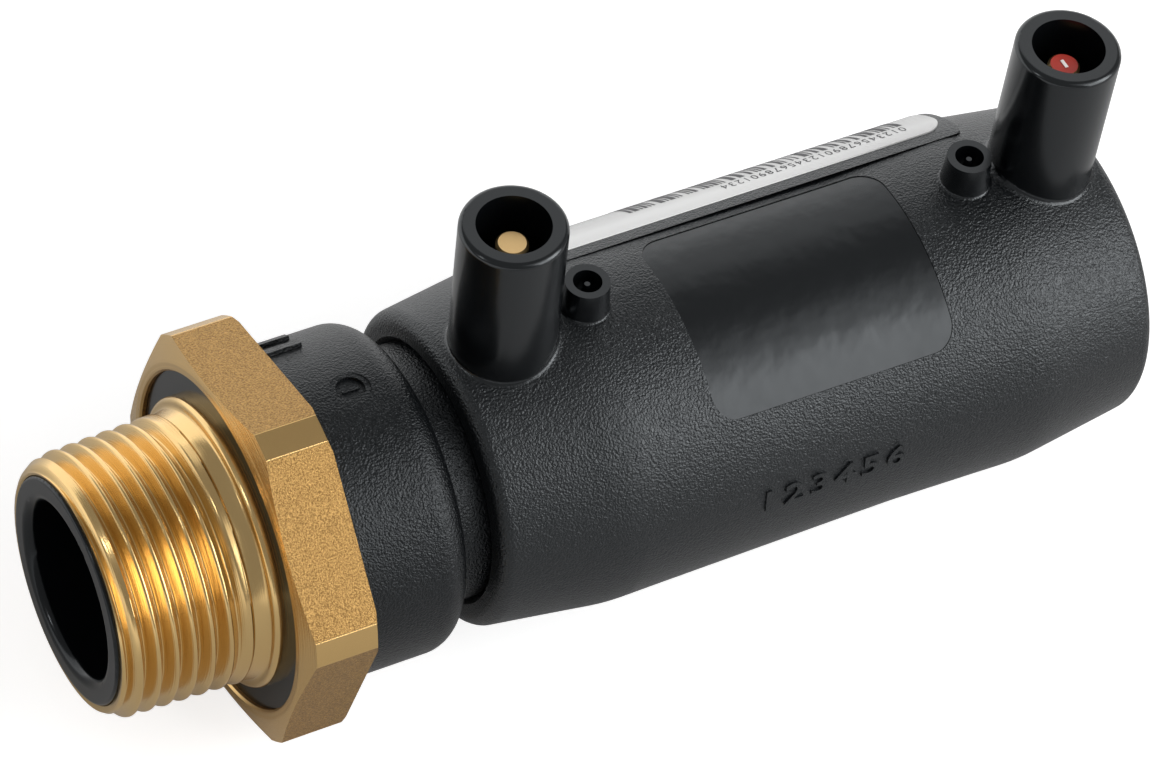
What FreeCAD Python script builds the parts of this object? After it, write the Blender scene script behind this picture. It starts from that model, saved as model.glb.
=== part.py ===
import FreeCAD, Part
import math
import os

V = FreeCAD.Vector
os.makedirs("parts", exist_ok=True)

# Electrofusion transition coupler for 32 mm polyethylene pipe, with a 1 inch taper male thread.
# Frame: X runs along the pipe axis, from the thread to the pipe socket. Z points up, along the
# terminals. The origin is on the pipe axis, at the front face of the brass hexagon. Millimetres.

# Threaded brass insert
PITCH = 25.4 / 11                             # eleven turns to the inch
THREAD_DEPTH = 0.640327 * PITCH               # Whitworth form, from crest to root
FLANK_ANGLE = 27.5
ROOT_FLAT = PITCH / 6
THREAD_MAJOR_R = 16.38                        # crest radius at the first full turn
TAPER = 1.0 / 32.0                            # radius gained per mm of length
THREAD_FRONT = -19.4                          # front face of the brass
THREAD_START = THREAD_FRONT + 2.0             # first full turn, behind the front chamfer
GROOVE_START = THREAD_FRONT - 3.18            # the groove starts in the air, on the underside
GROOVE_TURNS = 8.25                           # and ends at the far side, beside the neck
THREAD_END = -3.2                             # end of the taper, beside the neck
CHAMFER_R = THREAD_MAJOR_R - 1.28             # outer radius of the front face
NECK_R = THREAD_MAJOR_R + 0.4                 # smooth neck between thread and collar
NECK_RAMP = 0.4
INSERT_BORE_R = THREAD_MAJOR_R - 2.18         # inside of the brass, outside of the liner
SLEEVE_R = INSERT_BORE_R + 3.2                # hidden sleeve behind the collar
COLLAR_R = SLEEVE_R + 0.8                     # rounded collar in front of the black ring
COLLAR_FRONT = -1.0
COLLAR_ROUND = 0.7
INSERT_END = 12.0                             # hidden end inside the moulding
RIB_R = SLEEVE_R + 1.4                        # retaining ribs on the sleeve
RIBS_AT = (7.0, 9.6)
RIB_LEN = 1.2
SEAL_AT = 3.8                                 # place of the seal on the sleeve
SEAL_SECTION_R = 0.9
SEAL_SINK = 0.3                               # depth of the seal's groove in the sleeve

# Brass hexagon
HEX_WIDTH = 9.0
HEX_TURN = 74.2                               # angle of one corner, from -Y towards +Z
ADAPTER_R = RIB_R + 1.98                      # black moulding behind the hexagon
HEX_BORE_R = ADAPTER_R + 0.42                 # recess that takes the black ring
HEX_FLATS = 2 * (HEX_BORE_R + 1.7)            # across flats
HEX_CORNER_CUT = 0.94                         # how much is turned off each corner
HEX_LAND_R = HEX_BORE_R + 1.1                 # flat part of the front face
HEX_FRONT_DROP = 0.75                         # how far back the turned front is at the corners
HEX_REAR_CHAMFER = (0.3, 0.6)                 # along the axis, and inwards
HEX_LIP = 2.0                                 # rear lip behind the recess
HEX_EDGE = 0.25                               # chamfer on the recess's rim
KEYS = 6                                      # keys that stop the hexagon from turning
KEY_HALF_WIDTH = 2.0
KEY_HEIGHT = 0.8
KEY_START = 1.8
KEY_END = HEX_WIDTH - HEX_LIP - 0.5

# Pipe socket
PIPE_R = 16.0
PIPE_CLEARANCE = 0.15
SOCKET_R = PIPE_R + PIPE_CLEARANCE

# Adapter moulding
LINER_FRONT = THREAD_FRONT - 0.35             # front face of the liner ring
LINER_BORE_R = INSERT_BORE_R - 3.2
LINER_INNER_ROUND = 1.2
LINER_OUTER_ROUND = 0.4
RING_FACE = 0.7                               # front face of the black ring in the hexagon
ADAPTER_LEN = 15.35                           # from the hexagon's rear to the shoulder's end
ADAPTER_END = HEX_WIDTH + ADAPTER_LEN
SHOULDER_ROUND = min(4.0, 0.9 * (ADAPTER_R - SOCKET_R))
SPIGOT_BORE_R = SOCKET_R - 3.05
SPIGOT_NOSE = (1.5, 0.8)                      # taper at the spigot's end: along, and inwards
BORE_STEP = (6.0, 4.0)                        # the bore widens from before to behind the shoulder
BAR_ANGLES = (120.3, 130.5)                   # raised bars behind the hexagon
BAR_LEN = 5.9
BAR_HALF_WIDTH = 0.65
BAR_HEIGHT = 0.5
DATE_MARK_AT = HEX_WIDTH + 7.2                # round mark on top
DATE_MARK_R = 2.5
DATE_MARK_DEPTH = 0.15
DATE_DIAL_R = 1.8                             # deeper dial in the middle of the mark
DATE_DIAL_DEPTH = 0.55
DATE_POINTER = (2.2, 0.4, 0.25)               # ridge on the dial: long, wide, high

# Coupler moulding
LENGTH = 90.9
GAP = 3.84                                    # groove between the adapter and the coupler
MID = ADAPTER_END + GAP + LENGTH / 2          # middle of the coupler
END_R = SOCKET_R + 3.75                       # outer radius at both ends, before rounding
END_ROUND = min(1.8, 0.8 * (END_R - SOCKET_R))
MOUTH_CHAMFER = 0.8
KNEE = LENGTH / 2 - 16.45                     # from the middle to the start of each end taper
KNEE_R = SOCKET_R + 5.97
KNEE_ROUND = 28.0
WAIST = 11.0                                  # narrowest place, right of the middle
WAIST_R = SOCKET_R + 5.6
STOP_LEN = 1.6                                # ring where the pipe and the adapter stop
STOP_R = SOCKET_R - 1.35
WALL_COVER = 1.2                              # wall between the bore and what is rooted in it
ON_BARREL = 0.5                               # edges up to this far over the barrel lie on it

# Terminals
TERMINAL_SPAN = LENGTH / 2 - 7.62             # shroud rim centre from the coupler's middle
TERMINAL_TOP = KNEE_R + 18.95                 # rim height above the pipe axis
TERMINAL_LEAN = 1.6                           # each shroud leans outward, in degrees
SHROUD_BORE_R = 4.54
SHROUD_R = SHROUD_BORE_R + 2.02
SHROUD_DEPTH = 15.5
SHROUD_RIM_ROUND = 0.7
SHROUD_FOOT_ROUND = 0.8
PIN_R = 2.0
PIN_BELOW_RIM = 3.1
PIN_TIP_CHAMFER = 0.3
PIN_ROOT_R = PIN_R - 0.4
FLANGE_R = PIN_R + 1.0                        # flange that holds the pin in the moulding
FLANGE_THICK = 1.2
FLANGE_BELOW_FLOOR = 1.2
PLUG_R = PIN_R - 0.3                          # red plug in the right pin
PLUG_DEPTH = 4.0
TAB_SIZE = (0.44, 1.3, 2.4)                   # flat wire end: thick, wide, deep
TAB_PROUD = 0.12

# Fusion indicators
INDICATOR_SPAN = TERMINAL_SPAN - 11.43
INDICATOR_TOP = KNEE_R + 4.08
WELL_R = 1.78
WELL_DEPTH = 3.0
INDICATOR_R = WELL_R + 0.97
INDICATOR_FLARE = 0.75                        # the boss is this much wider at its root
INDICATOR_FOOT_ROUND = 0.4
PIP_TOP_R = 0.35
PIP_BASE_R = 0.9
PIP_BELOW_RIM = 0.45

# Label pad and label, on the far side of the terminals
PAD_ANGLE = 150.0                             # middle of the pad, from -Y towards +Z
PAD_SHIFT = 2.18                              # the pad's arc is centred this far off the axis
PAD_PROUD = 0.57                              # height of the pad's middle over the barrel
PAD_ARC_R = KNEE_R + PAD_PROUD - PAD_SHIFT
PAD_HALF_WIDTH = 13.9
PAD_HALF_LENGTH = TERMINAL_SPAN - 6.63
PAD_CORNER = 1.5
LABEL_HALF_WIDTH = PAD_HALF_WIDTH - 1.7
LABEL_HALF_LENGTH = PAD_HALF_LENGTH - 1.0
LABEL_CORNER = 3.0
LABEL_THICK = 0.12

# Smooth name panel, sunk into the near side
PANEL_ANGLES = (38.0, 108.0)
PANEL_ENDS = (-16.2, 17.0)
PANEL_FLOOR_R = WAIST_R - 0.25
PANEL_CORNER = 3.0

# Heating coil: two wound bands, flush with the bore, and the wire that joins them
COIL_DEPTH = 0.6
COIL_START = 10.0
COIL_END = LENGTH / 2 - 15.45
LEAD_HALF_WIDTH = 0.5
LEAD_COVER = 0.3                              # the leads lie this far under the bore

X_AXIS = V(1, 0, 0)
ORIGIN = V(0, 0, 0)
FAR_R = 3 * KNEE_R                            # beyond everything that is cut or kept


def turned(points):
    """Solid of revolution about the pipe axis from (x, radius) points."""
    wire = Part.makePolygon([V(x, 0, r) for x, r in points + points[:1]])
    return Part.Face(wire).revolve(ORIGIN, X_AXIS, 360)


def rod(x0, x1, r):
    return Part.makeCylinder(r, x1 - x0, V(x0, 0, 0), X_AXIS)


def bore_rod(r):
    """Rod that runs right through the coupler."""
    return rod(MID - LENGTH, MID + LENGTH, r)


def around(shape, angle):
    """Turn a shape that was drawn at the near side (-Y) to an angle from -Y towards +Z."""
    out = shape.copy()
    out.rotate(ORIGIN, X_AXIS, -angle)
    return out


def box(x0, x1, y0, y1, z0, z1):
    return Part.makeBox(x1 - x0, y1 - y0, z1 - z0, V(x0, y0, z0))


def rounded_block(x0, x1, half, corner, near, far):
    """Block with round corners in its X-Z outline, reaching from near to far towards -Y."""
    block = box(x0, x1, -far, -near, -half, half)
    upright = [e for e in block.Edges if abs(e.BoundBox.YLength - (far - near)) < 1e-6]
    return block.makeFillet(corner, upright)


def circle_edges(shape, x, r):
    """Circles about the pipe axis, at one place along it."""
    found = []
    for e in shape.Edges:
        if isinstance(e.Curve, Part.Circle):
            c = e.Curve
            on_axis = abs(c.Center.y) < 1e-4 and abs(c.Center.z) < 1e-4
            if on_axis and abs(c.Center.x - x) < 1e-3 and abs(c.Radius - r) < 1e-3:
                found.append(e)
    return found


def lean(shape, side):
    """Take a shape drawn down from the origin to a terminal's rim, where it leans outward."""
    out = shape.copy()
    out.rotate(ORIGIN, V(0, 1, 0), side * TERMINAL_LEAN)
    out.translate(V(MID + side * TERMINAL_SPAN, 0, TERMINAL_TOP))
    return out


def down(r, top, depth):
    """Upright cylinder that starts below the origin by top and goes on down by depth."""
    return Part.makeCylinder(r, depth, V(0, 0, -top - depth))


def coil():
    """Two wound bands, the wire that joins them and a lead to each terminal."""
    outer = SOCKET_R + COIL_DEPTH
    reach = TERMINAL_SPAN + LEAD_HALF_WIDTH
    strip = rod(MID - reach, MID + reach, outer).cut(bore_rod(SOCKET_R + LEAD_COVER))
    wire = strip.common(box(MID - reach, MID + reach, -LEAD_HALF_WIDTH, LEAD_HALF_WIDTH, 0, FAR_R))
    for side in (-1, 1):
        a, b = sorted((MID + side * COIL_START, MID + side * COIL_END))
        wire = wire.fuse(rod(a, b, outer).cut(bore_rod(SOCKET_R)))
    return wire.removeSplitter()


def pin(side):
    """Brass pin: shaft, root and the flange that holds it. Its foot stands on the coil's lead."""
    shaft = down(PIN_R, PIN_BELOW_RIM, SHROUD_DEPTH - PIN_BELOW_RIM)
    tip = [e for e in shaft.Edges if abs(e.CenterOfMass.z + PIN_BELOW_RIM) < 1e-6]
    shaft = shaft.makeChamfer(PIN_TIP_CHAMFER, tip)
    root = down(PIN_ROOT_R, SHROUD_DEPTH, TERMINAL_TOP - SOCKET_R - SHROUD_DEPTH)
    flange = down(FLANGE_R, SHROUD_DEPTH + FLANGE_BELOW_FLOOR, FLANGE_THICK)
    whole = lean(shaft.fuse([root, flange]).removeSplitter(), side)
    return whole.cut(bore_rod(SOCKET_R + COIL_DEPTH))


def plug_space():
    return lean(down(PLUG_R, PIN_BELOW_RIM, PLUG_DEPTH), 1)


def resistor_tab():
    """Flat end of the resistor's wire, across the middle of the red plug."""
    thick, wide, deep = TAB_SIZE
    top = PIN_BELOW_RIM - TAB_PROUD
    return lean(box(-thick / 2, thick / 2, -wide / 2, wide / 2, -top - deep, -top), 1)


def shroud(side):
    return lean(down(SHROUD_R, 0, TERMINAL_TOP - SOCKET_R - WALL_COVER), side)


def shroud_rim(shape, side):
    """Outer rim circle of a leaning shroud."""
    centre = lean(Part.Vertex(0, 0, 0), side).Point
    return [e for e in shape.Edges if isinstance(e.Curve, Part.Circle)
            and abs(e.Curve.Radius - SHROUD_R) < 1e-3
            and e.Curve.Center.distanceToPoint(centre) < 1e-3]


def indicator(side):
    """Boss that holds a fusion indicator, drawn solid and a little wider at its root."""
    base = SOCKET_R + WALL_COVER
    return Part.makeCone(INDICATOR_R + INDICATOR_FLARE, INDICATOR_R, INDICATOR_TOP - base,
                         V(MID + side * INDICATOR_SPAN, 0, base))


def foot_edges(shape, x, reach):
    """Curved edges where something upright, at x and within reach of it, meets the barrel."""
    found = []
    for e in shape.Edges:
        b = e.BoundBox
        near = abs(b.Center.x - x) < reach and abs(b.Center.y) < reach
        on_barrel = SOCKET_R + WALL_COVER < b.ZMin and b.ZMax < KNEE_R + ON_BARREL
        if near and on_barrel and not isinstance(e.Curve, (Part.Circle, Part.Line)):
            found.append(e)
    return found


def indicator_well(side):
    """Well with the small pip left standing in it."""
    x = MID + side * INDICATOR_SPAN
    floor = INDICATOR_TOP - WELL_DEPTH
    well = Part.makeCylinder(WELL_R, 2 * WELL_DEPTH, V(x, 0, floor))
    return well.cut(Part.makeCone(PIP_BASE_R, PIP_TOP_R, WELL_DEPTH - PIP_BELOW_RIM, V(x, 0, floor)))


def label_pad():
    """Raised pad whose arc is proud in the middle and nearly flush at its long edges."""
    start = MID - PAD_HALF_LENGTH
    arc = Part.makeCylinder(PAD_ARC_R, 2 * PAD_HALF_LENGTH, V(start, -PAD_SHIFT, 0), X_AXIS)
    keep = rounded_block(start, MID + PAD_HALF_LENGTH, PAD_HALF_WIDTH, PAD_CORNER,
                         SOCKET_R + WALL_COVER, FAR_R)
    return around(arc.common(keep), PAD_ANGLE)


def label():
    """Paper label, wrapped over the pad."""
    centre = V(MID - PAD_HALF_LENGTH, -PAD_SHIFT, 0)
    skin = Part.makeCylinder(PAD_ARC_R + LABEL_THICK, 2 * PAD_HALF_LENGTH, centre, X_AXIS)
    skin = skin.cut(Part.makeCylinder(PAD_ARC_R, 2 * PAD_HALF_LENGTH, centre, X_AXIS))
    outline = rounded_block(MID - LABEL_HALF_LENGTH, MID + LABEL_HALF_LENGTH, LABEL_HALF_WIDTH,
                            LABEL_CORNER, SOCKET_R, FAR_R)
    return around(skin.common(outline), PAD_ANGLE)


def panel_cutter():
    """What is taken out for the name panel: all outside its floor, within its outline."""
    a, b = PANEL_ANGLES
    half = WAIST_R * math.sin(math.radians((b - a) / 2))
    block = rounded_block(MID + PANEL_ENDS[0], MID + PANEL_ENDS[1], half, PANEL_CORNER,
                          SOCKET_R, FAR_R)
    return around(block, (a + b) / 2).cut(bore_rod(PANEL_FLOOR_R))


def barrel():
    """Turned form of the coupler, with square ends: taper, waisted middle, taper."""
    half = LENGTH / 2
    shell = turned([(MID - half, SOCKET_R), (MID - half, END_R), (MID - KNEE, KNEE_R),
                    (MID + WAIST, WAIST_R), (MID + KNEE, KNEE_R), (MID + half, END_R),
                    (MID + half, SOCKET_R)])
    for side in (-1, 1):
        shell = shell.makeFillet(KNEE_ROUND, circle_edges(shell, MID + side * KNEE, KNEE_R))
    return shell


def end_corners(shell):
    """What rounding both ends takes off the barrel."""
    rounded = shell
    for side in (-1, 1):
        ends = circle_edges(rounded, MID + side * LENGTH / 2, END_R)
        rounded = rounded.makeFillet(END_ROUND, ends)
    return shell.cut(rounded)


def barrel_with_shrouds():
    """The foot of each shroud runs onto the rounded end, so the end is rounded after it, and
    the shrouds are put back where that cut them."""
    shrouds = [shroud(-1), shroud(1)]
    shell = barrel()
    body = shell.fuse(shrouds)
    for side in (-1, 1):
        foot = lean(Part.Vertex(0, 0, KNEE_R - TERMINAL_TOP), side).Point
        body = body.makeFillet(SHROUD_FOOT_ROUND, foot_edges(body, foot.x, SHROUD_R))
    return body.cut(end_corners(shell)).fuse(shrouds).removeSplitter()


def coupler(embedded):
    """Coupler moulding, hollowed for what is embedded in it."""
    stop = rod(MID - STOP_LEN / 2, MID + STOP_LEN / 2, SOCKET_R + WALL_COVER)
    body = barrel_with_shrouds().cut(panel_cutter())
    body = body.fuse([label_pad(), stop.cut(bore_rod(STOP_R)), indicator(-1), indicator(1)])
    body = body.removeSplitter()
    for side in (-1, 1):
        mouth = circle_edges(body, MID + side * LENGTH / 2, SOCKET_R)
        foot = foot_edges(body, MID + side * INDICATOR_SPAN, INDICATOR_R + INDICATOR_FLARE)
        body = body.makeChamfer(MOUTH_CHAMFER, mouth)
        body = body.makeFillet(INDICATOR_FOOT_ROUND, foot)
        body = body.makeFillet(SHROUD_RIM_ROUND, shroud_rim(body, side))
    for side in (-1, 1):
        above = SHROUD_R
        body = body.cut(lean(down(SHROUD_BORE_R, -above, SHROUD_DEPTH + above), side))
        body = body.cut(indicator_well(side))
    for piece in embedded:
        body = body.cut(piece)
    return body


def insert_blank():
    """Brass insert before threading: taper, neck, collar and the hidden sleeve with its ribs."""
    crest = THREAD_MAJOR_R + (THREAD_END - THREAD_START) * TAPER
    points = [(THREAD_FRONT, INSERT_BORE_R), (THREAD_FRONT, CHAMFER_R),
              (THREAD_START, THREAD_MAJOR_R), (THREAD_END, crest),
              (THREAD_END + NECK_RAMP, NECK_R), (COLLAR_FRONT, NECK_R),
              (COLLAR_FRONT, COLLAR_R), (RING_FACE, COLLAR_R), (RING_FACE, SLEEVE_R)]
    for at in RIBS_AT:
        points += [(at, SLEEVE_R), (at, RIB_R), (at + RIB_LEN, SLEEVE_R)]
    points += [(INSERT_END, SLEEVE_R), (INSERT_END, INSERT_BORE_R)]
    blank = turned(points)
    return blank.makeFillet(COLLAR_ROUND, circle_edges(blank, COLLAR_FRONT, COLLAR_R))


def thread_groove():
    """The groove of a right-hand taper thread, swept along a helix that climbs a cone."""
    crest = THREAD_MAJOR_R + (GROOVE_START - THREAD_START) * TAPER
    helix = Part.makeHelix(PITCH, PITCH * GROOVE_TURNS, crest, math.degrees(math.atan(TAPER)))
    root = crest - THREAD_DEPTH
    over = crest + ROOT_FLAT
    half_over = ROOT_FLAT / 2 + (over - root) * math.tan(math.radians(FLANK_ANGLE))
    outline = Part.makePolygon([V(root, 0, -ROOT_FLAT / 2), V(root, 0, ROOT_FLAT / 2),
                                V(over, 0, half_over), V(over, 0, -half_over),
                                V(root, 0, -ROOT_FLAT / 2)])
    groove = Part.Wire(helix).makePipeShell([outline], True, True)
    groove.rotate(ORIGIN, V(0, 1, 0), 90)
    groove.translate(V(GROOVE_START, 0, 0))
    return groove


def seal_ring():
    return Part.makeTorus(SLEEVE_R + SEAL_SECTION_R - SEAL_SINK, SEAL_SECTION_R, V(SEAL_AT, 0, 0), X_AXIS)


def hex_keys():
    """Keys between the moulding and the inside of the hexagon."""
    keys = []
    for i in range(KEYS):
        key = box(KEY_START, KEY_END, -HEX_BORE_R - KEY_HEIGHT, -HEX_BORE_R + KEY_HEIGHT,
                  -KEY_HALF_WIDTH, KEY_HALF_WIDTH)
        keys.append(around(key, i * 360.0 / KEYS + HEX_TURN))
    return keys


def date_mark():
    """What is sunk for the date mark: a shallow ring, and a deeper dial with a pointer in it."""
    floor = ADAPTER_R - DATE_DIAL_DEPTH
    long, wide, high = DATE_POINTER
    ring = Part.makeCylinder(DATE_MARK_R, DATE_MARK_R, V(DATE_MARK_AT, 0, ADAPTER_R - DATE_MARK_DEPTH))
    dial = Part.makeCylinder(DATE_DIAL_R, DATE_MARK_R, V(DATE_MARK_AT, 0, floor))
    return ring.fuse(dial.cut(box(DATE_MARK_AT - long / 2, DATE_MARK_AT + long / 2,
                                  -wide / 2, wide / 2, floor, floor + high)))


def adapter(insert, seal):
    """Black moulding: liner through the brass, ring in the hexagon, shoulder and spigot."""
    spigot_end = MID - STOP_LEN / 2
    lip = HEX_WIDTH - HEX_LIP
    nose_along, nose_in = SPIGOT_NOSE
    before, behind = BORE_STEP
    body = turned([(LINER_FRONT, LINER_BORE_R), (LINER_FRONT, INSERT_BORE_R),
                   (RING_FACE, INSERT_BORE_R), (RING_FACE, HEX_BORE_R), (lip, HEX_BORE_R),
                   (lip, ADAPTER_R), (ADAPTER_END, ADAPTER_R), (ADAPTER_END, SOCKET_R),
                   (spigot_end - nose_along, SOCKET_R), (spigot_end, SOCKET_R - nose_in),
                   (spigot_end, SPIGOT_BORE_R), (ADAPTER_END + behind, SPIGOT_BORE_R),
                   (ADAPTER_END - before, LINER_BORE_R)])
    body = body.makeFillet(SHOULDER_ROUND, circle_edges(body, ADAPTER_END, ADAPTER_R))
    body = body.makeFillet(LINER_INNER_ROUND, circle_edges(body, LINER_FRONT, LINER_BORE_R))
    body = body.makeFillet(LINER_OUTER_ROUND, circle_edges(body, LINER_FRONT, INSERT_BORE_R))
    bar = box(HEX_WIDTH, HEX_WIDTH + BAR_LEN, -ADAPTER_R - BAR_HEIGHT, -ADAPTER_R + BAR_HEIGHT,
              -BAR_HALF_WIDTH, BAR_HALF_WIDTH)
    body = body.fuse(hex_keys() + [around(bar, angle) for angle in BAR_ANGLES])
    return body.cut(date_mark()).cut(insert).cut(seal)


def hexagon():
    """Brass hexagon with turned-down corners and a turned front."""
    corner = HEX_FLATS / 2 / math.cos(math.pi / 6)
    corner_r = corner - HEX_CORNER_CUT
    turns = [math.radians(HEX_TURN + 60 * i) for i in range(7)]
    outline = Part.makePolygon([V(0, -corner * math.cos(t), corner * math.sin(t)) for t in turns])
    prism = Part.Face(outline).extrude(V(HEX_WIDTH, 0, 0))
    along, inwards = HEX_REAR_CHAMFER
    ring = prism.common(turned([(0, 0), (0, HEX_LAND_R), (HEX_FRONT_DROP, corner_r),
                                (HEX_WIDTH - along, corner_r), (HEX_WIDTH, corner_r - inwards),
                                (HEX_WIDTH, 0)]))
    ring = ring.cut(rod(-HEX_WIDTH, HEX_WIDTH - HEX_LIP, HEX_BORE_R))
    ring = ring.cut(rod(-HEX_WIDTH, 2 * HEX_WIDTH, ADAPTER_R))
    ring = ring.makeChamfer(HEX_EDGE, circle_edges(ring, 0, HEX_BORE_R))
    return ring.cut(hex_keys())


def save(name, shape):
    if shape.ShapeType == "Compound" and len(shape.Solids) == 1:
        shape = shape.Solids[0]
    print(name, shape.ShapeType, "valid", shape.isValid(), "volume", round(shape.Volume, 1))
    shape.exportStep("parts/%s.step" % name)


def main():
    wire = coil()
    left_pin = pin(-1)
    right_pin = pin(1)
    seal = seal_ring()
    insert = insert_blank().cut(seal)

    save("coupler_body", coupler([left_pin, right_pin, wire]))
    save("heating_coil", wire)
    save("terminal_pin", left_pin)
    save("terminal_sleeve", right_pin.cut(plug_space()))
    save("resistor_plug", plug_space().cut(resistor_tab()))
    save("resistor_tab", resistor_tab())
    save("label", label())
    save("adapter_body", adapter(insert, seal))
    save("threaded_insert", insert.cut(thread_groove()))
    save("seal_ring", seal)
    save("hex_ring", hexagon())


main()
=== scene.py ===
# %% [markdown]
# # An electrofusion transition coupler
# A black polyethylene coupler with two electric terminals welds itself to a plastic pipe. At its
# other end a brass hexagon and a tapered male thread join it to metal pipework. The CAD model
# comes in as a fixed frame. Its solids have the main forms, so most of them only get a finish
# here. The brass is a plain cone where the thread goes, so the thread is cut here. The panel's
# plate, the moulded number and the label's print are added too.

# %% Load the frame
import math
import random

import bmesh
import bpy
from mathutils import Matrix, Vector


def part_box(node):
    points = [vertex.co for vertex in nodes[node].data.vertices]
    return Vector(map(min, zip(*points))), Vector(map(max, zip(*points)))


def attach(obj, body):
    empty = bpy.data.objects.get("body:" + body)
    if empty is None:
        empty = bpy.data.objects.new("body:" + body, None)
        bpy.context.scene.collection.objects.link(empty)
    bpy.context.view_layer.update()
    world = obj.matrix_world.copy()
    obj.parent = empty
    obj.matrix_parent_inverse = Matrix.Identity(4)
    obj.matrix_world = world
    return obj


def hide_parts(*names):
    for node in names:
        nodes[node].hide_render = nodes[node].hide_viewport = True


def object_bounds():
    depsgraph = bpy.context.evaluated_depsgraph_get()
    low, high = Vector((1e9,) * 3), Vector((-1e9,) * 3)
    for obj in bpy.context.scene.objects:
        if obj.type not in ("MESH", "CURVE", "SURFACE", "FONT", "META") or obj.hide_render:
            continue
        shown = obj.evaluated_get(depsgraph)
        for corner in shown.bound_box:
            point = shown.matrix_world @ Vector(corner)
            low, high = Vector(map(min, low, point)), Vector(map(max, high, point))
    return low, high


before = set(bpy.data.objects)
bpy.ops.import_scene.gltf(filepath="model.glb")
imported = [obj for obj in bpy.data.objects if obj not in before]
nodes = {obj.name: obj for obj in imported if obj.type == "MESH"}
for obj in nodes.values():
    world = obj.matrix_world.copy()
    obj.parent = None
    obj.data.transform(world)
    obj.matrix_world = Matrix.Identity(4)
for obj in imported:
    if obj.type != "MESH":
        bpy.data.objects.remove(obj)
cad_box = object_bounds()
print("solids in the frame:", sorted(nodes))

# %% [markdown]
# ## Sizes that the pieces share
# Everything is in metres, so one millimetre gets a name. The pipe axis is X, and an angle round
# the axis is counted from the near side (-Y) up towards the top (+Z). Places along the axis are
# measured from the frame, so the finishes and the added pieces follow the solids.

# %% Measure the frame
MM = 0.001
TAU = 2 * math.pi


def span(node, axis):
    """Lowest and highest place of a CAD node along one axis."""
    low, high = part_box(node)
    return low[axis], high[axis]


COUPLER_START, COUPLER_END = span("coupler_body", 0)
COUPLER_MID = (COUPLER_START + COUPLER_END) / 2
COUPLER_TOP = span("coupler_body", 2)[1]
BRASS_FRONT, BRASS_END = span("threaded_insert", 0)
FLOOR_Z = cad_box[0][2]
print("coupler from", round(COUPLER_START, 4), "to", round(COUPLER_END, 4))


def at_angle(x, degrees, radius):
    """Point at x along the pipe axis, at an angle from the near side towards the top."""
    turn = math.radians(degrees)
    return Vector((x, -radius * math.cos(turn), radius * math.sin(turn)))


# %% [markdown]
# ## Colours and nodes
# Designers write colours as hex codes in sRGB, and Blender's shaders want linear light, so one
# function converts them. A second function adds a shader node, sets its inputs and links them,
# which keeps each material below to a few readable lines.

# %% Helpers for materials
def linear(code):
    """Linear RGBA of an sRGB hex colour."""
    parts = [int(code[i:i + 2], 16) / 255 for i in (1, 3, 5)]
    light = [c / 12.92 if c <= 0.04045 else ((c + 0.055) / 1.055) ** 2.4 for c in parts]
    return (*light, 1.0)


def add_node(tree, kind, inputs=None, **settings):
    """Adds a node. An input's value is a constant, or the output socket that feeds it."""
    node = tree.nodes.new("ShaderNode" + kind)
    for name, value in settings.items():
        setattr(node, name, value)
    for name, value in (inputs or {}).items():
        if isinstance(value, bpy.types.NodeSocket):
            tree.links.new(value, node.inputs[name])
        else:
            node.inputs[name].default_value = value
    return node


def new_material(name, **inputs):
    """Material with a Principled shader. Returns the material, its node tree and the shader."""
    material = bpy.data.materials.new(name)
    material.use_nodes = True
    tree = material.node_tree
    shader = tree.nodes["Principled BSDF"]
    for socket, value in inputs.items():
        shader.inputs[socket.replace("_", " ")].default_value = value
    return material, tree, shader


def calc(tree, operation, *values):
    """One sum on numbers or sockets."""
    return add_node(tree, "Math", dict(enumerate(values)), operation=operation).outputs[0]


def ramp(tree, value, low, high, first=0.0, last=1.0):
    """Goes from first, where value is low, to last, where it is high, and stays there."""
    ends = {"Value": value, "From Min": low, "From Max": high, "To Min": first, "To Max": last}
    return add_node(tree, "MapRange", ends).outputs["Result"]


def length_of(tree, **parts):
    """Length of the vector that has these parts."""
    vector = add_node(tree, "CombineXYZ", parts).outputs["Vector"]
    return add_node(tree, "VectorMath", {0: vector}, operation="LENGTH").outputs["Value"]


def grain(tree, size, detail=1.5):
    """Even noise whose bumps are about size metres wide, on the piece's own coordinates."""
    place = add_node(tree, "TexCoord").outputs["Object"]
    return add_node(tree, "TexNoise", {"Vector": place, "Scale": 1 / size, "Detail": detail,
                                       "Roughness": 0.6}).outputs["Fac"]


def bump(tree, shader, height, distance):
    """Raises a surface by a height pattern, distance metres high where the pattern is 1."""
    node = add_node(tree, "Bump", {"Height": height, "Strength": 1.0, "Distance": distance})
    tree.links.new(node.outputs["Normal"], shader.inputs["Normal"])


def coordinates(tree):
    """The place on the piece as three numbers. Every piece's own origin is the row frame's."""
    place = add_node(tree, "TexCoord").outputs["Object"]
    xyz = add_node(tree, "SeparateXYZ", {"Vector": place}).outputs
    return xyz["X"], xyz["Y"], xyz["Z"]


# %% [markdown]
# ## Spark-eroded polyethylene
# The mould was spark-eroded, which leaves a fine, even grain on the plastic. Black polyethylene
# is nearly as dark as ink, so what the eye sees is the lamps in its gloss, and the grain breaks
# them into grey sparkle. Modelled bumps would need millions of faces, so the grain is a bump
# pattern. It's drawn coarser and higher than the real one, because finer grain vanishes at this
# picture size. The liner and its front ring are smooth, and one material tells the two apart by
# the place along the axis.

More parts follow.
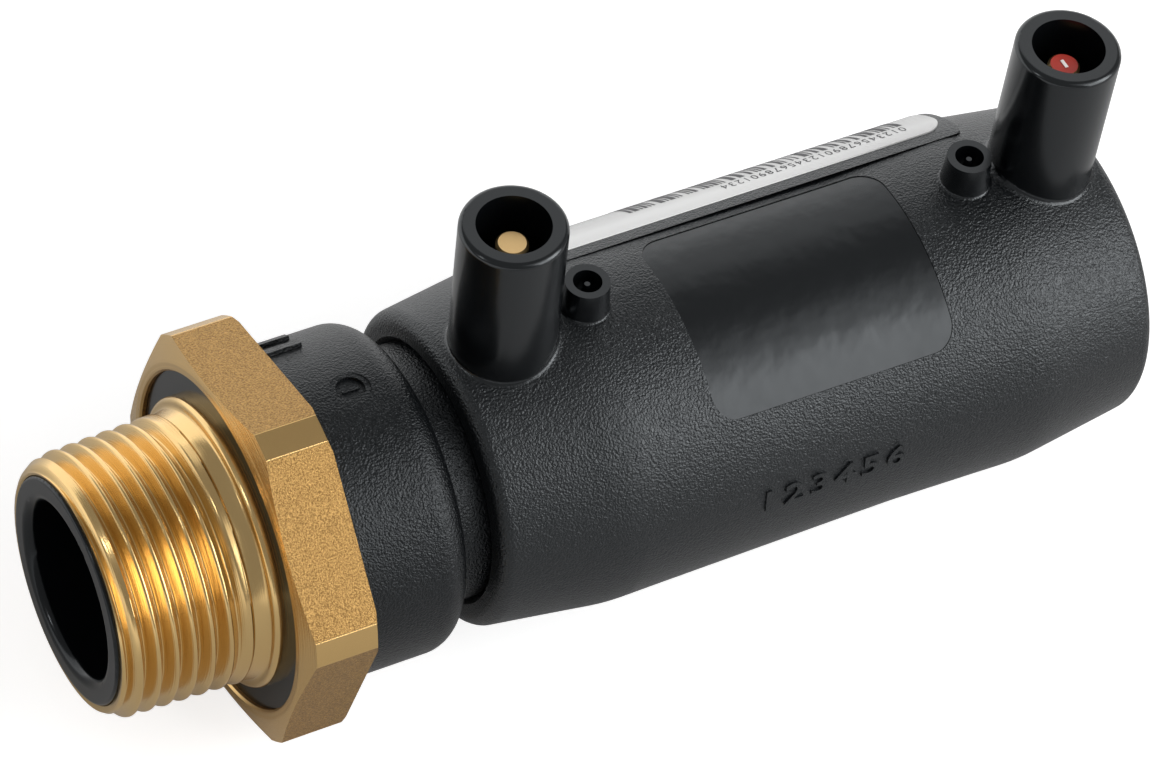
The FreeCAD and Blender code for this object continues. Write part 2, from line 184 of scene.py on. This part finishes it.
# %% Black polyethylene
GRAIN_SIZE = 0.30 * MM
GRAIN_HEIGHT = 0.18 * MM
SMOOTH_ROUGHNESS = 0.19
GRAIN_ROUGHNESS = 0.29
BLACK_PE = "#0a0c0e"
PE_TINT = "#f1f7fb"                           # the sheen is a little cool
PE_GLOSS = 0.6                                # specular level, set so that the sheen matches
PANEL_GLOSS = 0.5
ADAPTER_GLOSS = 0.38                          # the moulding through the brass looks duller


def polyethylene(name, gloss, **inputs):
    """Black polyethylene. Returns the material, its node tree and the shader."""
    return new_material(name, Base_Color=linear(BLACK_PE), IOR=1.51, Specular_IOR_Level=gloss,
                        Specular_Tint=linear(PE_TINT), **inputs)


def eroded(tree, shader, rough):
    """Grain where rough is 1 and none where it's 0. Returns the roughness that goes with it."""
    bump(tree, shader, calc(tree, "MULTIPLY", grain(tree, GRAIN_SIZE), rough), GRAIN_HEIGHT)
    return ramp(tree, rough, 0, 1, SMOOTH_ROUGHNESS, GRAIN_ROUGHNESS)


# %% The moulding that runs through the brass
SMOOTH_END = 1.0 * MM                         # the liner and the ring in the hexagon are smooth

adapter_pe, tree, shader = polyethylene("Spark-eroded polyethylene", ADAPTER_GLOSS)
rough = ramp(tree, coordinates(tree)[0], SMOOTH_END, SMOOTH_END + 0.1 * MM)
tree.links.new(eroded(tree, shader, rough), shader.inputs["Roughness"])
print("made", adapter_pe.name)

# %% [markdown]
# The coupler's shrouds and indicator bosses come from polished parts of the mould. The solid is
# one piece, so its material finds the smooth places by their distance from the leaning centre
# line of a shroud and from the centre line of a boss. The left end looks duller up to a line
# round the barrel, as if its part of the mould was eroded coarser, so its roughness is higher.
# The smooth panel gets a finish of its own, with faint waves that break up the highlight.

# %% The coupler, grained and smooth
SHROUD_R = 6.56 * MM
SHROUD_SPAN = 37.83 * MM                      # rim centre from the coupler's middle
SHROUD_LEAN = math.tan(math.radians(1.6))
INDICATOR_SPAN = 26.4 * MM
INDICATOR_R = 2.75 * MM
COARSE_END = -27.0 * MM                       # from the coupler's middle
COARSE_BLEND = 0.4 * MM
COARSER = 0.07                                # what it adds to the roughness

coupler_pe, tree, shader = polyethylene("Spark-eroded and polished polyethylene", PE_GLOSS)
x, y, z = coordinates(tree)
along = calc(tree, "SUBTRACT", x, COUPLER_MID)
side = calc(tree, "ABSOLUTE", along)
drop = calc(tree, "SUBTRACT", COUPLER_TOP, z)
centre = calc(tree, "MULTIPLY_ADD", drop, -SHROUD_LEAN, SHROUD_SPAN)
from_shroud = length_of(tree, X=calc(tree, "SUBTRACT", side, centre), Y=y)
off_shroud = ramp(tree, from_shroud, SHROUD_R + 0.05 * MM, SHROUD_R + 0.5 * MM)
from_boss = length_of(tree, X=calc(tree, "SUBTRACT", side, INDICATOR_SPAN), Y=y)
off_boss = ramp(tree, from_boss, INDICATOR_R + 0.2 * MM, INDICATOR_R + 0.7 * MM)
rough = calc(tree, "MINIMUM", off_shroud, off_boss)
coarse = ramp(tree, along, COARSE_END - COARSE_BLEND, COARSE_END + COARSE_BLEND, COARSER, 0.0)
roughness = calc(tree, "MULTIPLY_ADD", rough, coarse, eroded(tree, shader, rough))
tree.links.new(roughness, shader.inputs["Roughness"])
print("made", coupler_pe.name)

panel_pe, tree, shader = polyethylene("Polished polyethylene", PANEL_GLOSS, Roughness=0.27)
bump(tree, shader, grain(tree, 3 * MM), 0.09 * MM)
print("made", panel_pe.name)

# %% [markdown]
# ## Brass, turned and forged
# The thread was cut on a lathe, so it's bright with fine rings. The hexagon was forged and
# blasted: its flats are dull and granular, while its front and its corners were turned.

# %% Brass finishes
TURNING_FEED = 0.11 * MM                      # the rings are drawn a little coarser than real
RING_HEIGHT = 0.02 * MM                       # on the thread's brass
BLAST_GRIT = 0.22 * MM
BLAST_HEIGHT = 3.0                            # of the grit, in heights of the hexagon's rings
HEX_RING_HEIGHT = 0.05 * MM
HEX_TURNED_R = 25.42 * MM                     # the corners were turned down beyond this
HEX_TURNED_ROUGHNESS = 0.26
HEX_BLASTED_ROUGHNESS = 0.42


def turning_rings(tree, x, radius):
    """Fine rings round the axis, on a cylinder and on a face alike."""
    inputs = {"W": calc(tree, "ADD", x, radius), "Detail": 2.0, "Scale": 0.5 / TURNING_FEED}
    return add_node(tree, "TexNoise", inputs, noise_dimensions="1D").outputs["Fac"]


brass_turned, tree, shader = new_material("Turned brass", Base_Color=linear("#dfbd82"),
                                          Metallic=1.0, Roughness=0.21)
x, y, z = coordinates(tree)
radius = length_of(tree, Y=y, Z=z)
bump(tree, shader, turning_rings(tree, x, radius), RING_HEIGHT)

brass_forged, tree, shader = new_material("Forged and blasted brass", Metallic=1.0)
x, y, z = coordinates(tree)
radius = length_of(tree, Y=y, Z=z)
normal = add_node(tree, "NewGeometry").outputs["Normal"]
facing = add_node(tree, "SeparateXYZ", {"Vector": normal}).outputs["X"]
turned = calc(tree, "MAXIMUM", ramp(tree, radius, HEX_TURNED_R, HEX_TURNED_R + 0.05 * MM),
              ramp(tree, calc(tree, "ABSOLUTE", facing), 0.4, 0.6))
blasted = calc(tree, "SUBTRACT", 1.0, turned)
grit = grain(tree, BLAST_GRIT, 3.0)
heights = add_node(tree, "Mix", {"Factor": blasted, 2: turning_rings(tree, x, radius),
                                 3: calc(tree, "MULTIPLY", grit, BLAST_HEIGHT)})
bump(tree, shader, heights.outputs[0], HEX_RING_HEIGHT)
tree.links.new(ramp(tree, blasted, 0, 1, HEX_TURNED_ROUGHNESS, HEX_BLASTED_ROUGHNESS),
               shader.inputs["Roughness"])
speckle = add_node(tree, "Mix", {"Factor": ramp(tree, grit, 0.35, 0.65), 6: linear("#8c6b40"),
                                 7: linear("#c9a163")}, data_type="RGBA").outputs[2]
skin = add_node(tree, "Mix", {"Factor": turned, 6: speckle, 7: linear("#dcb77a")},
                data_type="RGBA").outputs[2]
tree.links.new(skin, shader.inputs["Base Color"])

brass_pin = new_material("Turned brass pin", Base_Color=linear("#ecc88e"), Metallic=1.0,
                         Roughness=0.34)[0]
print("made", brass_turned.name, "and", brass_forged.name)

# %% [markdown]
# ## Small finishes
# The label is paper under a clear film, which is a coat on its shader. Its print is so thin that it
# looks grey. The right pin is stopped by a red plug with the flat end of a tinned wire across it.
# Deep in the sockets lies the heating wire. Its turns show as fine ridges, one every pitch, on the
# band of plastic over them.

# %% Label, plug, wire and rubber
COIL_PITCH = 1.1 * MM
TURN_HEIGHT = 0.1 * MM

label_paper = new_material("Glossy label paper", Base_Color=linear("#fcfcfb"), Roughness=0.35,
                           Coat_Weight=1.0, Coat_Roughness=0.12)[0]
label_ink = new_material("Matt black ink", Base_Color=linear("#5d5d60"), Roughness=0.6)[0]
plug_red = new_material("Red moulded nylon", Base_Color=linear("#d83a28"), Roughness=0.35)[0]
tinned = new_material("Tinned copper wire", Base_Color=linear("#f0ece8"), Metallic=1.0,
                      Roughness=0.3)[0]
rubber = new_material("Black seal rubber", Base_Color=linear("#101010"), Roughness=0.6)[0]
coil_wire, tree, shader = new_material("Heating wire in polyethylene",
                                       Base_Color=linear("#15120f"), Roughness=0.4)
turns = calc(tree, "SINE", calc(tree, "MULTIPLY", coordinates(tree)[0], TAU / COIL_PITCH))
bump(tree, shader, turns, TURN_HEIGHT)

# %% Dress the solids
FINISHES = {"coupler_body": coupler_pe, "heating_coil": coil_wire, "terminal_pin": brass_pin,
            "terminal_sleeve": brass_pin, "resistor_plug": plug_red, "resistor_tab": tinned,
            "label": label_paper, "adapter_body": adapter_pe, "seal_ring": rubber,
            "hex_ring": brass_forged}

for node_name, material in FINISHES.items():
    for slot in nodes[node_name].material_slots:
        slot.material = material
print("dressed", len(FINISHES), "solids")

# %% [markdown]
# ## The cut thread
# A taper pipe thread is one long groove that climbs round a cone. The solid has the plain cone,
# and the groove is cut here. A flat grid, one pitch wide and many turns long, is wound round the
# axis like tape, so its rows follow the thread and the crests come out crisp. Each vertex is put
# at the height of the thread at its place, which also gives the chamfered start and the shallow
# last turn, where the cutting tool was drawn out.

# %% Sizes of the thread
PITCH = 25.4 * MM / 11                        # eleven turns to the inch
FLANK_ANGLE = math.radians(27.5)
TIP_R = 0.137329 * PITCH                      # standard round crest
ROOT_R = 0.06 * PITCH                         # the tool's point is sharper than the standard's
TAPER = 1 / 32                                # radius gained per length
MAJOR_R = 16.38 * MM                          # crest radius at the first full turn
CHAMFER_R = MAJOR_R - 1.28 * MM
CHAMFER_END = BRASS_FRONT + 2.0 * MM
THREAD_END = -3.2 * MM
FIRST_CREST_X = -17.15 * MM                   # where a crest passes CREST_ANGLE
CREST_ANGLE = -37.0
GROOVE_END = 6.0                              # turns from there until the tool is clear
GROOVE_FADE = 1.2                             # turns over which it is drawn out
STEPS_A_TURN = 160
LEAD_TURNS = 2                                # turns of the strip before the first full crest


def crest_drop(along):
    """How far the surface lies under the crest, at a distance along the axis from its middle."""
    along = abs(along)
    tip_reach = TIP_R * math.cos(FLANK_ANGLE)
    root_reach = ROOT_R * math.cos(FLANK_ANGLE)
    if along < tip_reach:
        return TIP_R - math.sqrt(TIP_R ** 2 - along ** 2)
    flank = min(along, PITCH / 2 - root_reach) - tip_reach
    drop = TIP_R * (1 - math.sin(FLANK_ANGLE)) + flank / math.tan(FLANK_ANGLE)
    to_root = min(PITCH / 2 - along, root_reach)
    return drop + math.sqrt(max(0, ROOT_R ** 2 - to_root ** 2)) - ROOT_R * math.sin(FLANK_ANGLE)


def thread_radius(x, degrees):
    """Radius of the threaded surface at a place along and round the axis."""
    round_turn = (degrees - CREST_ANGLE) / 360
    turns = (x - FIRST_CREST_X) / PITCH + round_turn
    groove_turn = math.floor(turns) + 0.5 - round_turn
    left = min(1, max(0, (GROOVE_END - groove_turn) / GROOVE_FADE))
    taper = MAJOR_R + (x - CHAMFER_END) * TAPER
    slope = (MAJOR_R - CHAMFER_R) / (CHAMFER_END - BRASS_FRONT)
    chamfer = CHAMFER_R + (x - BRASS_FRONT) * slope
    return min(taper - crest_drop((turns - round(turns)) * PITCH) * left, chamfer)


# %% Wind the thread's shell
CREST_ROWS = [0.03, 0.06, 0.09, 0.1218, 0.21, 0.3, 0.39, 0.4468, 0.465, 0.483, 0.5]   # in pitches


def move_round(v, x, radius):
    """Moves a vertex to x and to a radius, and keeps its direction from the axis."""
    out = Vector((0, v.co.y, v.co.z)).normalized()
    v.co = Vector((x, 0, 0)) + out * radius


def thread_shell(bm):
    """Winds a strip one pitch wide into a climbing shell, and cuts it square at both ends."""
    rows = [-r for r in reversed(CREST_ROWS)] + [0.0] + CREST_ROWS
    turns = math.ceil((THREAD_END - BRASS_FRONT) / PITCH) + LEAD_TURNS
    bmesh.ops.create_grid(bm, x_segments=turns * STEPS_A_TURN, y_segments=len(rows) - 1, size=0.5)
    for v in bm.verts:
        turn = (v.co.x + 0.5) * turns
        row = rows[round((v.co.y + 0.5) * (len(rows) - 1))]
        x = FIRST_CREST_X + (turn + row - LEAD_TURNS) * PITCH
        degrees = (CREST_ANGLE - turn * 360 + 180) % 360 - 180
        v.co = at_angle(x, degrees, thread_radius(x, degrees))
    bmesh.ops.remove_doubles(bm, verts=bm.verts, dist=0.004 * MM)
    for x, side in ((BRASS_FRONT, -1), (THREAD_END, 1)):
        bmesh.ops.bisect_plane(bm, geom=bm.verts[:] + bm.edges[:] + bm.faces[:], dist=0.001 * MM,
                               plane_co=(x, 0, 0), plane_no=(side, 0, 0), clear_outer=True)


# %% [markdown]
# The rest of the brass is turned: a bore, a smooth neck, a rounded collar and a hidden sleeve
# with two retaining ribs. The shell's open ends are extruded from ring to ring, which keeps the
# whole piece one closed skin.

# %% Close the brass
def extend(bm, loop, rings):
    """Extrudes an open loop from ring to ring, each given as (x, radius), and returns the last."""
    for x, radius in rings:
        made = bmesh.ops.extrude_edge_only(bm, edges=loop)["geom"]
        for v in (g for g in made if isinstance(g, bmesh.types.BMVert)):
            move_round(v, x, radius)
        loop = [g for g in made if isinstance(g, bmesh.types.BMEdge) and g.is_boundary]
    return loop


def quarter_round(x, radius, reach, steps=6):
    """Rings of a rounded outer edge that starts on a face at x and ends at a radius."""
    turns = [TAU / 4 * i / steps for i in range(steps + 1)]
    return [(x + reach * (1 - math.sin(t)), radius - reach * (1 - math.cos(t)))
            for t in reversed(turns)]


def new_piece(name, bm, material, sharp=35):
    """Makes a bmesh an object on the root body, smooth but for edges over a sharp angle."""
    bmesh.ops.recalc_face_normals(bm, faces=bm.faces)
    mesh = bpy.data.meshes.new(name)
    bm.to_mesh(mesh)
    bm.free()
    mesh.shade_smooth()
    mesh.set_sharp_from_angle(angle=math.radians(sharp))
    mesh.materials.append(material)
    piece = bpy.data.objects.new(name, mesh)
    bpy.context.collection.objects.link(piece)
    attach(piece, "root")
    print(name, len(mesh.vertices), "vertices", len(mesh.polygons), "faces")
    return piece


BORE_R = MAJOR_R - 2.18 * MM
SLEEVE_R = BORE_R + 3.2 * MM
COLLAR_R = SLEEVE_R + 0.8 * MM
NECK_R = MAJOR_R + 0.45 * MM
NECK_DIP = 0.28 * MM                          # the neck is lower where the thread runs out
NECK_RAMP = 0.3 * MM
COLLAR_X = -1.0 * MM
COLLAR_END = 0.7 * MM
COLLAR_FOOT = 0.25 * MM                       # chamfer between the neck and the collar
COLLAR_ROUND = 0.7 * MM
BORE_EDGE = 0.15 * MM
RIB_R = SLEEVE_R + 1.4 * MM
RIB_LENGTH = 1.2 * MM
RIBS_AT = (7.0 * MM, 9.6 * MM)

bm = bmesh.new()
thread_shell(bm)
open_edges = [e for e in bm.edges if e.is_boundary]
front = [e for e in open_edges if all(abs(v.co.x - BRASS_FRONT) < 1e-6 for v in e.verts)]
rear = [e for e in open_edges if all(abs(v.co.x - THREAD_END) < 1e-6 for v in e.verts)]
bore_end = extend(bm, front, [(BRASS_FRONT, BORE_R + BORE_EDGE), (BRASS_FRONT + BORE_EDGE, BORE_R),
                              (BRASS_END, BORE_R)])
outside = [(THREAD_END + NECK_RAMP, NECK_R - NECK_DIP), (COLLAR_X - COLLAR_FOOT, NECK_R),
           (COLLAR_X, NECK_R + COLLAR_FOOT)]
outside += quarter_round(COLLAR_X, COLLAR_R, COLLAR_ROUND)
outside += [(COLLAR_END, COLLAR_R), (COLLAR_END, SLEEVE_R)]
for at in RIBS_AT:
    outside += [(at, SLEEVE_R), (at, RIB_R), (at + RIB_LENGTH, SLEEVE_R)]
sleeve_end = extend(bm, rear, outside + [(BRASS_END, SLEEVE_R)])
bmesh.ops.bridge_loops(bm, edges=bore_end + sleeve_end)
print("edges still open:", sum(e.is_boundary for e in bm.edges))
thread = new_piece("cut_thread", bm, brass_turned, sharp=50)
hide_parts("threaded_insert")

# %% [markdown]
# ## Numbers
# A text object is the easy way to get letter shapes. It's made a flat mesh first, sized to a box,
# and then each vertex is laid on the curved surface. The number on the barrel is moulded with it
# and stands proud, so it's given a thickness, with its foot sunk into the barrel. It only counts.

# %% Helper: a line of digits as a bmesh
def digits(text, width, height, thick=0.0, weight=0.0):
    """Flat digits centred on the origin, width long in x, height tall in y, thick in z."""
    curve = bpy.data.curves.new("digits", "FONT")
    curve.body = text
    curve.align_x = "CENTER"
    curve.offset = weight
    curve.space_character = 1.25
    curve.resolution_u = 4
    holder = bpy.data.objects.new("digits", curve)
    bpy.context.collection.objects.link(holder)
    bm = bmesh.new()
    bm.from_mesh(holder.to_mesh())
    holder.to_mesh_clear()
    bpy.data.objects.remove(holder)
    low = [min(v.co[i] for v in bm.verts) for i in range(2)]
    high = [max(v.co[i] for v in bm.verts) for i in range(2)]
    for v in bm.verts:
        v.co.x = (v.co.x - (low[0] + high[0]) / 2) * width / (high[0] - low[0])
        v.co.y = (v.co.y - (low[1] + high[1]) / 2) * height / (high[1] - low[1])
    bmesh.ops.remove_doubles(bm, verts=bm.verts, dist=0.001 * MM)
    if thick:
        made = bmesh.ops.extrude_face_region(bm, geom=bm.faces[:])["geom"]
        for v in (g for g in made if isinstance(g, bmesh.types.BMVert)):
            v.co.z += thick
    return bm


# %% The moulded number
KNEE = 29 * MM                                # from the coupler's middle
KNEE_R = 22.12 * MM
WAIST = 11 * MM
WAIST_R = 21.75 * MM
NUMBER_AT = (-0.95 * MM, 5.7)                 # place from the coupler's middle, and angle
NUMBER_SIZE = (19.6 * MM, 3.3 * MM)
NUMBER_PROUD = 0.26 * MM
NUMBER_SINK = 0.15 * MM


def barrel_radius(x):
    """Outer radius of the barrel, which narrows from both knees to its waist."""
    along = x - COUPLER_MID
    knee = math.copysign(KNEE, along - WAIST)
    return WAIST_R + (KNEE_R - WAIST_R) * (along - WAIST) / (knee - WAIST)


bm = digits("123456", *NUMBER_SIZE, thick=NUMBER_PROUD + NUMBER_SINK, weight=0.015)
for v in bm.verts:
    x = COUPLER_MID + NUMBER_AT[0] + v.co.x
    radius = barrel_radius(x)
    v.co = at_angle(x, NUMBER_AT[1] + math.degrees(v.co.y / radius), radius - NUMBER_SINK + v.co.z)
new_piece("moulded_number", bm, coupler_pe, sharp=30)

# %% [markdown]
# ## The smooth panel
# The panel is a polished field hardly deeper than the grain round it, and the solid's recess for
# it is deeper. A flat plate with rounded corners is cut across into strips, so that it can be laid
# on the barrel, and it fills the recess up to the depth of the real one.

# %% Panel plate
PANEL_ANGLES = (38.0, 108.0)
PANEL_ENDS = (-16.2 * MM, 17.0 * MM)          # from the coupler's middle
PANEL_DEPTH = 0.10 * MM
PANEL_CORNER = 3.0 * MM
PANEL_PLATE = 0.6 * MM
PANEL_GAP = 0.03 * MM
STRIPS_ROUND = 30
STRIPS_ALONG = 12

middle = math.radians(sum(PANEL_ANGLES) / 2)
half = WAIST_R * math.sin(math.radians(PANEL_ANGLES[1]) - middle) - PANEL_GAP
low, high = PANEL_ENDS[0] + PANEL_GAP, PANEL_ENDS[1] - PANEL_GAP
bm = bmesh.new()
bmesh.ops.create_grid(bm, x_segments=1, y_segments=1, size=0.5)
for v in bm.verts:
    v.co = Vector(((low + high) / 2 + v.co.x * (high - low), v.co.y * 2 * half, 0))
bmesh.ops.bevel(bm, geom=bm.verts[:], affect="VERTICES", offset=PANEL_CORNER, segments=10,
                profile=0.5, material=-1)
made = bmesh.ops.extrude_face_region(bm, geom=bm.faces[:])["geom"]
for v in (g for g in made if isinstance(g, bmesh.types.BMVert)):
    v.co.z -= PANEL_PLATE
cuts = [((0, half * (2 * i / STRIPS_ROUND - 1), 0), (0, 1, 0)) for i in range(1, STRIPS_ROUND)]
cuts += [((low + (high - low) * i / STRIPS_ALONG, 0, 0), (1, 0, 0)) for i in range(1, STRIPS_ALONG)]
for place, across in cuts:
    bmesh.ops.bisect_plane(bm, geom=bm.verts[:] + bm.edges[:] + bm.faces[:], dist=0.0001 * MM,
                           plane_co=place, plane_no=across)
for v in bm.verts:
    x = COUPLER_MID + v.co.x
    angle = math.degrees(middle + math.asin(v.co.y / WAIST_R))
    v.co = at_angle(x, angle, barrel_radius(x) - PANEL_DEPTH + v.co.z)
new_piece("name_panel", bm, panel_pe)

# %% [markdown]
# ## Print on the label
# The label carries bars and a row of digits. Both are flat shapes a hair above the paper, laid on
# the label's arc, whose centre is a little off the pipe axis. The bars' widths come from a seeded
# random row, so they say nothing, and the digits only count.

# %% Bars and digits
LABEL_ANGLE = 150.0
LABEL_SHIFT = 2.18 * MM
LABEL_ARC_R = 20.63 * MM
INK_LIFT = 0.02 * MM
BARS_ENDS = (-12.1 * MM, 26.8 * MM)
BARS_ACROSS = (-8.4 * MM, 4.0 * MM)
BAR_WIDTH = 0.24 * MM                         # of the narrowest bars and gaps
SMALL_AT = (12.9 * MM, -9.9 * MM)
SMALL_SIZE = (25.9 * MM, 1.6 * MM)


def on_label(x, across):
    """Point on the label, at x from the coupler's middle and across from the label's middle."""
    turn = across / LABEL_ARC_R
    radius = LABEL_ARC_R + INK_LIFT
    flat = Vector((0, -LABEL_SHIFT - radius * math.cos(turn), radius * math.sin(turn)))
    flat.rotate(Matrix.Rotation(-math.radians(LABEL_ANGLE), 3, "X"))
    return flat + Vector((COUPLER_MID + x, 0, 0))


random.seed(7)
bm = bmesh.new()
x = BARS_ENDS[0]
bars = 0
while x < BARS_ENDS[1]:
    wide = random.choice((1, 1, 2, 3)) * BAR_WIDTH
    made = bmesh.ops.create_grid(bm, x_segments=1, y_segments=10, size=0.5)["verts"]
    for v in made:
        across = BARS_ACROSS[0] + (v.co.y + 0.5) * (BARS_ACROSS[1] - BARS_ACROSS[0])
        v.co = on_label(x + (v.co.x + 0.5) * wide, across)
    x += wide + random.choice((1, 1, 2, 3)) * BAR_WIDTH
    bars += 1
print("bars on the label:", bars)
new_piece("label_bars", bm, label_ink)

bm = digits("0123456789012345678901234", *SMALL_SIZE)
for v in bm.verts:
    v.co = on_label(SMALL_AT[0] - v.co.x, SMALL_AT[1] - v.co.y)
new_piece("label_digits", bm, label_ink)

# %% [markdown]
# ## Camera, floor and light
# A long lens stands well back from the part, so the lines along it stay nearly parallel. The
# camera looks down on the near side and is rolled a little, as in the photograph.

# %% Camera
CAMERA_AT = Vector((-0.24478, -0.42874, 0.60064))
SIGHT = Vector((0.37221, 0.54283, -0.75286))
CAMERA_ROLL = math.radians(8.848)
LENS = 200.63                                 # millimetres, on a sensor 36 mm wide

camera_data = bpy.data.cameras.new("camera")
camera_data.lens = LENS
camera_data.sensor_width = 36
camera_data.clip_end = 50
camera = bpy.data.objects.new("camera", camera_data)
bpy.context.collection.objects.link(camera)
turn = SIGHT.to_track_quat("-Z", "Y").to_matrix() @ Matrix.Rotation(CAMERA_ROLL, 3, "Z")
camera.matrix_world = Matrix.Translation(CAMERA_AT) @ turn.to_4x4()
bpy.context.scene.camera = camera
print("camera looks along", [round(c, 3) for c in SIGHT])

# %% [markdown]
# The part lies on a white sheet that sweeps up behind it, in a studio that is otherwise dim. The
# gloss of black plastic is only as good as what it mirrors: the white behind gives the pale edge
# along the top, the dim ceiling gives the deep blacks, and one large soft lamp at the front right
# gives the broad highlight. A weaker lamp above it softens its upper edge, one at the right
# brightens the socket's tapered end, one behind lifts the far side, and a small one at the left
# draws the line of bright dots along the thread. The sheet glows a little, so the background
# stays white and still takes a soft shadow. In reflections only, it glows more behind the part
# and to its left. That glow is a painted reflection that stands in for a lit backdrop.

# %% White sheet and dim surroundings
SHEET_WIDTH = 16.0
SHEET_FRONT = -6.0
SHEET_BACK = 1.5
SHEET_TOP = 1.1
SHEET_CURVE = 0.4
CURVE_STEPS = 8
SHEET_GAP = 0.1 * MM                          # the sheet lies a hair under the part
SEEN_GLOW = 0.72                              # what the camera sees the sheet glow by
# the two glows below are painted reflections, seen only in the part's gloss
BACK_GLOW = 1.15                              # what the part mirrors of it behind
LEFT_GLOW = 0.7
DIM_LIGHT = 0.32                              # of the surroundings

bm = bmesh.new()
profile = [(SHEET_FRONT, 0.0), (SHEET_BACK - SHEET_CURVE, 0.0)]
for i in range(1, CURVE_STEPS + 1):
    t = TAU / 4 * i / CURVE_STEPS
    profile.append((SHEET_BACK - SHEET_CURVE * (1 - math.sin(t)), SHEET_CURVE * (1 - math.cos(t))))
profile.append((SHEET_BACK, SHEET_TOP))
start = Vector((COUPLER_MID - SHEET_WIDTH / 2, 0, FLOOR_Z - SHEET_GAP))
edge = [bm.verts.new(start + Vector((0, y, z))) for y, z in profile]
edges = [bm.edges.new(pair) for pair in zip(edge, edge[1:])]
made = bmesh.ops.extrude_edge_only(bm, edges=edges)["geom"]
for v in (g for g in made if isinstance(g, bmesh.types.BMVert)):
    v.co.x += SHEET_WIDTH
sheet_mesh = bpy.data.meshes.new("sheet")
bm.to_mesh(sheet_mesh)
bm.free()
sheet_mesh.shade_smooth()
sheet = bpy.data.objects.new("sheet", sheet_mesh)
bpy.context.collection.objects.link(sheet)

sheet_white, tree, shader = new_material("White sheet", Base_Color=linear("#d4d4d4"), Roughness=0.9)
paths = add_node(tree, "LightPath").outputs
x, y, z = coordinates(tree)
shader.inputs["Emission Color"].default_value = (1, 1, 1, 1)
seen = calc(tree, "MULTIPLY", paths["Is Camera Ray"], SEEN_GLOW)
# painted reflection: in glossy rays only, the sheet glows brighter behind the part and to its left
glow = calc(tree, "MAXIMUM", ramp(tree, y, 0.02, 0.3, 0.0, BACK_GLOW),
            ramp(tree, x, -0.05, -0.2, 0.0, LEFT_GLOW))
mirrored = calc(tree, "MULTIPLY", paths["Is Glossy Ray"], glow)
tree.links.new(calc(tree, "ADD", seen, mirrored), shader.inputs["Emission Strength"])
sheet_mesh.materials.append(sheet_white)

world = bpy.data.worlds.new("dim studio")
bpy.context.scene.world = world
world.use_nodes = True
backdrop = world.node_tree.nodes["Background"]
backdrop.inputs["Color"].default_value = (1, 1, 1, 1)
backdrop.inputs["Strength"].default_value = DIM_LIGHT


# %% Lamps
LAMP_DISTANCE = 1.25


def soft_lamp(name, azimuth, elevation, width, height, level):
    """Rectangular lamp whose face is level times white, seen from the part at two angles.
    Azimuth 0 is the near side (-Y) and 90 is the socket's side (+X)."""
    turn, rise = math.radians(azimuth), math.radians(elevation)
    sideways = Vector((math.sin(turn), -math.cos(turn), 0)) * math.cos(rise)
    away = sideways + Vector((0, 0, math.sin(rise)))
    lamp_data = bpy.data.lights.new(name, "AREA")
    lamp_data.shape = "RECTANGLE"
    lamp_data.size = width
    lamp_data.size_y = height
    lamp_data.energy = level * math.pi * width * height
    lamp = bpy.data.objects.new(name, lamp_data)
    bpy.context.collection.objects.link(lamp)
    middle = Vector((COUPLER_MID / 2, 0, 0))
    place = Matrix.Translation(middle + away * LAMP_DISTANCE)
    lamp.matrix_world = place @ (-away).to_track_quat("-Z", "Y").to_matrix().to_4x4()


soft_lamp("front right", 41, 25, 0.97, 0.91, 3.4)
soft_lamp("front right, its soft upper edge", 38, 54, 1.0, 0.35, 0.9)
soft_lamp("right", 57, 25, 0.5, 0.85, 2.4)
soft_lamp("high, behind", 150, 44, 1.0, 0.5, 0.7)
soft_lamp("small left", -89, 35, 0.14, 0.14, 15.0)
bpy.context.scene.view_settings.view_transform = "Standard"
